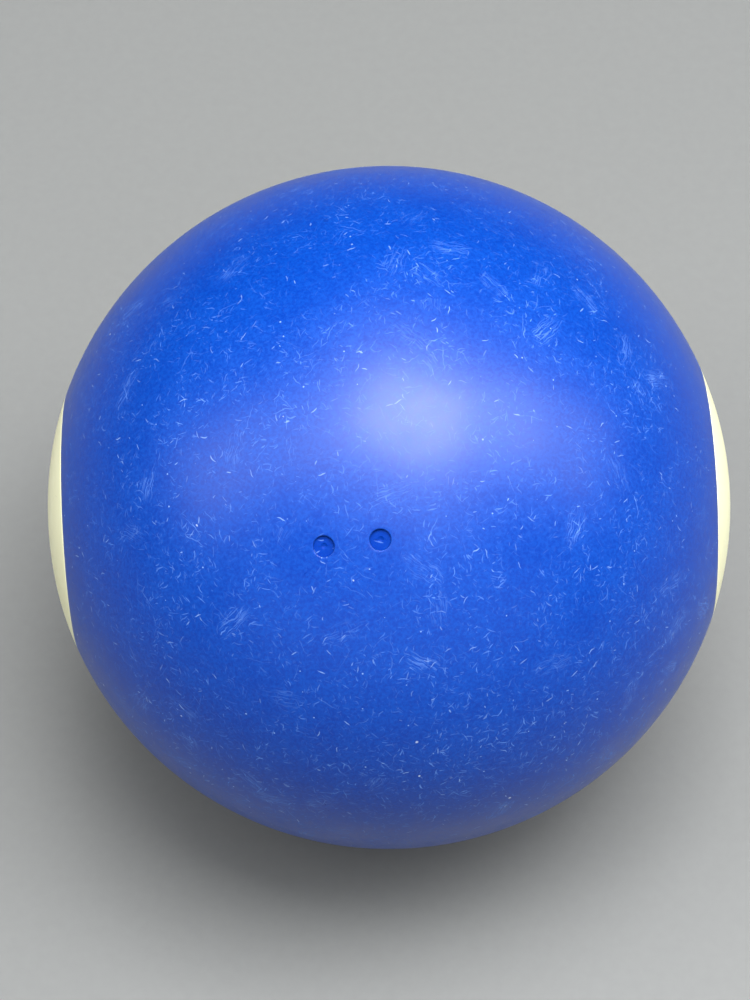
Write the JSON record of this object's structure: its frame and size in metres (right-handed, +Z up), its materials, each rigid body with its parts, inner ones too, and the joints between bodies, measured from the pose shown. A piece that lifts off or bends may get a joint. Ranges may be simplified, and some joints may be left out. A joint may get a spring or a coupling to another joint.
{
  "type": "case opening friction ball",
  "caption": "Soft hollow rubber ball with a flush disc at each end of its axis and needle ports for inflating, pressed and turned by hand to grip a screwed watch case back.",
  "frame": {"origin": "centre of the ball", "axes": "+X along the ball's axis through the middles of the two discs, towards the right disc; +Z up with the needle ports on the upper front; -Y to the front"},
  "size_m": [0.065, 0.065, 0.065],
  "materials": {
    "blue_rubber": "smooth moulded, slightly tacky, satin to semi-gloss",
    "cream_rubber": "smooth moulded, satin",
    "plug_rubber": "satin",
    "valve_rubber": "matte",
    "bladder_rubber": "matte"
  },
  "bodies": {
    "root": {"cover_band": "blue_rubber", "pole_disc_left": "cream_rubber", "pole_disc_right": "cream_rubber", "bladder": "bladder_rubber", "valve_block": "valve_rubber", "valve_patch": "bladder_rubber", "valve_plug_left": "plug_rubber", "valve_plug_right": "plug_rubber"}
  },
  "joints": []
}
